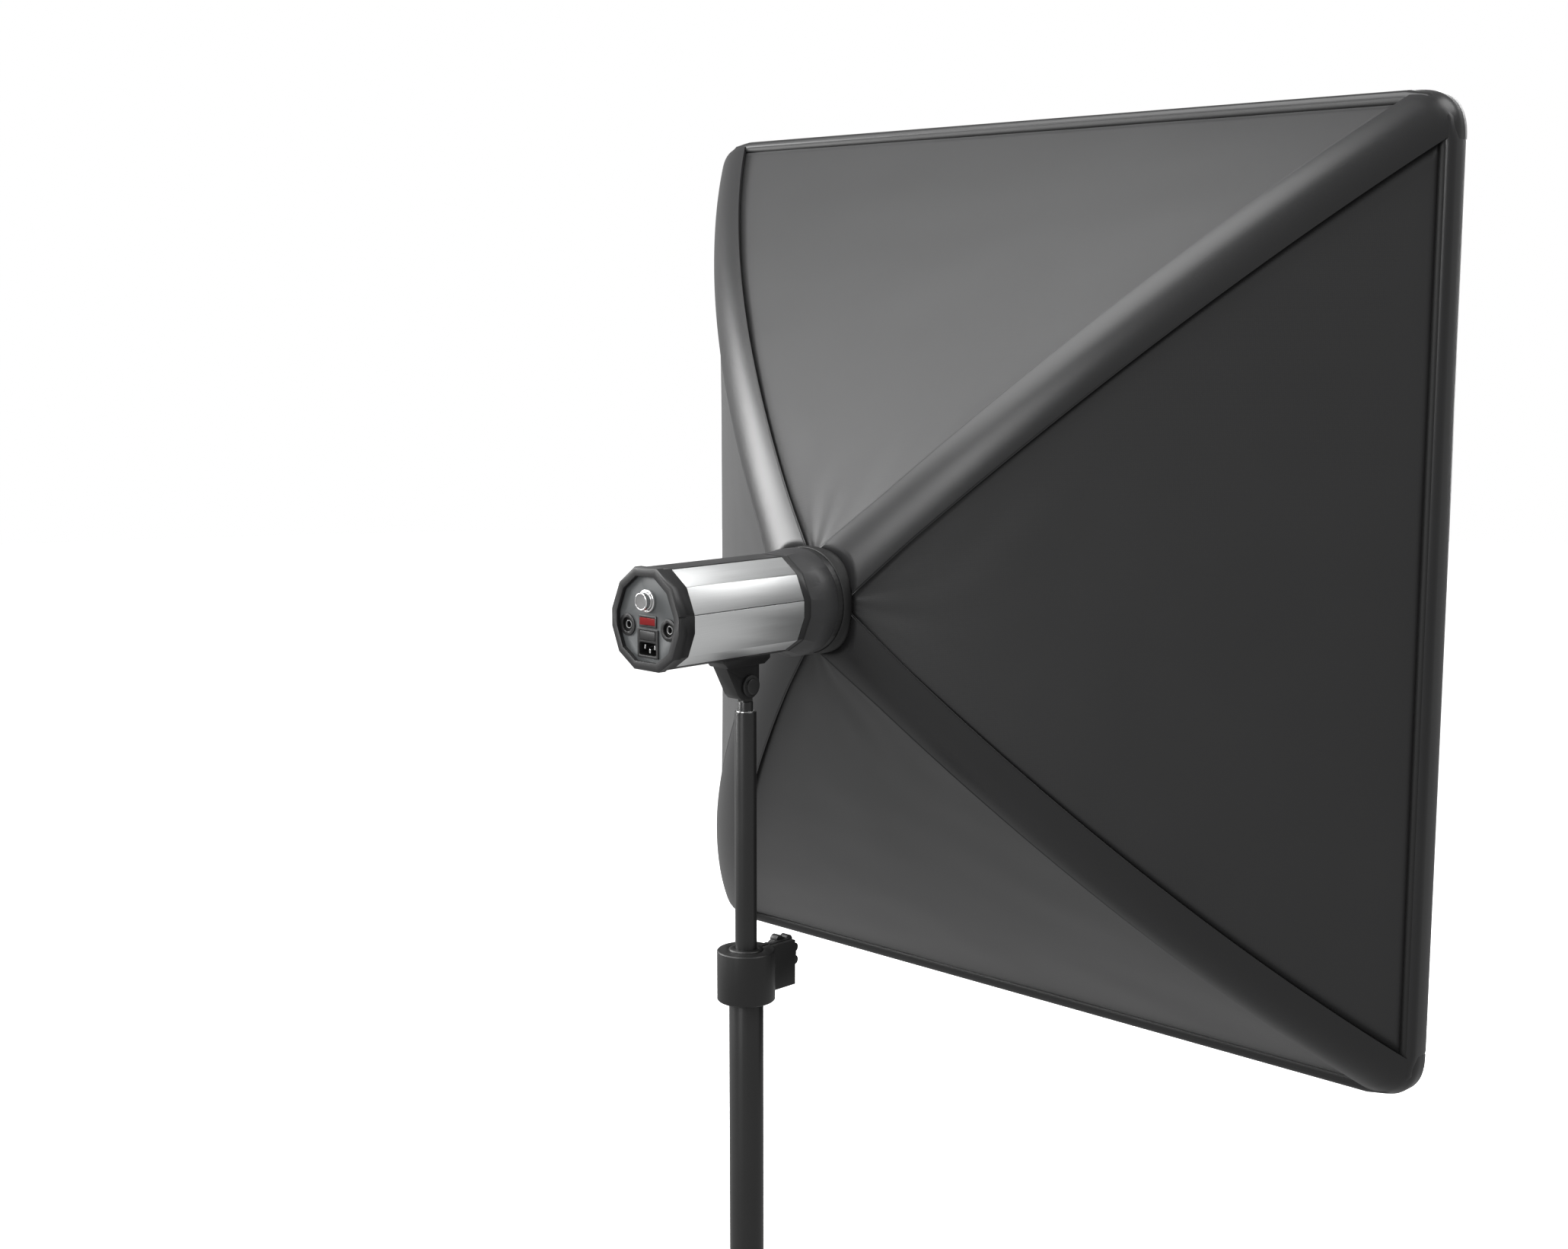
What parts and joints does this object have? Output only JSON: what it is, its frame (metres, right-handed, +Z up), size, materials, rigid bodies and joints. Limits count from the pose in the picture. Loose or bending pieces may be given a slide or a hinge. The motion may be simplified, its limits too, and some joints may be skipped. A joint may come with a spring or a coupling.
{
  "type": "studio softbox",
  "caption": "Studio strobe head with a square black fabric softbox on a telescoping tripod stand; head pans and tilts, softbox rotates, legs fold.",
  "frame": {"origin": "the column's axis at floor level, between the three feet", "axes": "+Z up, the diffuser faces -Y, the head's control panel faces +Y, +X is the left side seen from behind the panel looking at it"},
  "size_m": [1, 0.9605, 1.83],
  "materials": {
    "black_nylon": "satin",
    "black_plastic": "matte",
    "black_steel": "satin",
    "bright_metal": "polished",
    "brushed_aluminium": "brushed",
    "capacitor_blue": "gloss",
    "ceramic": "satin",
    "circuit_board": "satin",
    "diffuser": "matte",
    "glass": "clear",
    "grey_plastic": "matte",
    "panel_grey": "satin",
    "plain_steel": "satin",
    "red_plastic": "gloss",
    "rubber": "matte"
  },
  "bodies": {
    "stand": {"base_tube": "black_steel", "clamp_bush": "black_plastic", "clamp_collar": "black_plastic", "strut_collar": "black_plastic", "strut_pins": "plain_steel"},
    "clamp_knob": {"clamp_knob": "black_plastic"},
    "leg_collar": {"leg_collar": "black_plastic"},
    "leg_lock_knob": {"leg_lock_knob": "black_plastic"},
    "mast": {"top_tube": "black_steel", "tube_slider": "black_plastic", "tube_socket": "plain_steel"},
    "swivel": {"swivel_stud": "black_steel"},
    "head": {"tilt_bracket": "grey_plastic", "tilt_nut": "black_steel", "rear_bezel": "grey_plastic", "rear_panel": "panel_grey", "panel_upper_left": "brushed_aluminium", "panel_upper_right": "brushed_aluminium", "panel_lower_left": "brushed_aluminium", "panel_lower_right": "brushed_aluminium", "top_spine": "grey_plastic", "bottom_rail": "grey_plastic", "front_collar": "grey_plastic", "sync_sockets": "black_plastic", "power_inlet": "black_plastic", "inlet_pins": "plain_steel", "rocker_frame": "black_plastic", "control_board": "circuit_board", "chassis_plate": "plain_steel", "capacitors": "capacitor_blue", "fan_frame": "black_plastic", "lamp_base": "ceramic", "flash_tube": "glass", "modelling_lamp": "glass"},
    "tilt_bolt": {"tilt_bolt": "black_steel"},
    "power_knob": {"power_knob": "bright_metal"},
    "power_rocker": {"power_rocker": "red_plastic"},
    "fuse_drawer": {"fuse_drawer": "black_plastic"},
    "fan": {"fan_impeller": "black_plastic"},
    "softbox": {"speedring": "black_plastic", "rods": "plain_steel", "fabric_top": "black_nylon", "fabric_bottom": "black_nylon", "fabric_left": "black_nylon", "fabric_right": "black_nylon", "rib_sleeves": "black_nylon", "rim_hem": "black_nylon", "front_diffuser": "diffuser"},
    "strut_1": {"strut_1": "black_steel"},
    "leg_1": {"leg_1": "black_steel", "foot_1": "rubber", "knee_pin_1": "plain_steel"},
    "strut_2": {"strut_2": "black_steel"},
    "leg_2": {"leg_2": "black_steel", "foot_2": "rubber", "knee_pin_2": "plain_steel"},
    "strut_3": {"strut_3": "black_steel"},
    "leg_3": {"leg_3": "black_steel", "foot_3": "rubber", "knee_pin_3": "plain_steel"}
  },
  "joints": [
    {"name": "strut_1_fold", "type": "hinge", "parent": "stand", "child": "strut_1", "pos_m": [0, 0.044, 0.06214], "axis": [1, 0, 0], "range_deg": [0, 56]},
    {"name": "leg_1_fold", "type": "hinge", "parent": "strut_1", "child": "leg_1", "pos_m": [0, 0.21173, 0.17107], "axis": [1, 0, 0], "range_deg": [-112, 0]},
    {"name": "strut_2_fold", "type": "hinge", "parent": "stand", "child": "strut_2", "pos_m": [0.0381, -0.022, 0.06214], "axis": [-0.5, -0.866, 0], "range_deg": [0, 56]},
    {"name": "leg_2_fold", "type": "hinge", "parent": "strut_2", "child": "leg_2", "pos_m": [0.18337, -0.10587, 0.17107], "axis": [-0.5, -0.866, 0], "range_deg": [-112, 0]},
    {"name": "strut_3_fold", "type": "hinge", "parent": "stand", "child": "strut_3", "pos_m": [-0.0381, -0.022, 0.06214], "axis": [-0.5, 0.866, 0], "range_deg": [0, 56]},
    {"name": "leg_3_fold", "type": "hinge", "parent": "strut_3", "child": "leg_3", "pos_m": [-0.18337, -0.10587, 0.17107], "axis": [-0.5, 0.866, 0], "range_deg": [-112, 0]},
    {"name": "leg_collar_slide", "type": "slide", "parent": "stand", "child": "leg_collar", "axis": [0, 0, 1], "range_m": [0, 0.18208]},
    {"name": "leg_lock_turn", "type": "hinge", "parent": "leg_collar", "child": "leg_lock_knob", "pos_m": [0.03464, 0.02, 0.29], "axis": [0.866, 0.5, 0], "range_deg": [-360, 0]},
    {"name": "clamp_turn", "type": "hinge", "parent": "stand", "child": "clamp_knob", "pos_m": [0.008, -0.0548, 0.961], "axis": [1, 0, 0], "range_deg": [-360, 0]},
    {"name": "mast_slide", "type": "slide", "parent": "stand", "child": "mast", "axis": [0, 0, 1], "range_m": [-0.225, 0.45]},
    {"name": "head_pan", "type": "hinge", "parent": "mast", "child": "swivel", "pos_m": [0, 0, 1.22], "axis": [0, 0, 1], "continuous": true},
    {"name": "head_tilt", "type": "hinge", "parent": "swivel", "child": "head", "pos_m": [0, 0.003, 1.254], "axis": [1, 0, 0], "range_deg": [-15, 30]},
    {"name": "tilt_bolt_turn", "type": "hinge", "parent": "head", "child": "tilt_bolt", "pos_m": [-0.012, 0.003, 1.254], "axis": [1, 0, 0], "range_deg": [-360, 0]},
    {"name": "power_dial", "type": "hinge", "parent": "head", "child": "power_knob", "pos_m": [0, 0.13, 1.35], "axis": [0, 1, 0], "range_deg": [-150, 150]},
    {"name": "power_switch", "type": "hinge", "parent": "head", "child": "power_rocker", "pos_m": [0, 0.125, 1.3303], "axis": [0, 0, 1], "range_deg": [-16, 0]},
    {"name": "fuse_drawer_pull", "type": "slide", "parent": "head", "child": "fuse_drawer", "axis": [0, 1, 0], "range_m": [0, 0.012]},
    {"name": "fan_spin", "type": "hinge", "parent": "head", "child": "fan", "pos_m": [0, -0.02, 1.33], "axis": [0, 1, 0], "continuous": true},
    {"name": "softbox_turn", "type": "hinge", "parent": "head", "child": "softbox", "pos_m": [0, -0.09, 1.33], "axis": [0, 1, 0], "continuous": true}
  ],
  "couplings": [
    {"joint": "leg_1_fold", "follows": "strut_1_fold", "ratio": -2},
    {"joint": "strut_2_fold", "follows": "strut_1_fold", "ratio": 1},
    {"joint": "leg_2_fold", "follows": "strut_1_fold", "ratio": -2},
    {"joint": "strut_3_fold", "follows": "strut_1_fold", "ratio": 1},
    {"joint": "leg_3_fold", "follows": "strut_1_fold", "ratio": -2},
    {"joint": "leg_collar_slide", "follows": "strut_1_fold", "m_per_rad": 0.18629}
  ]
}
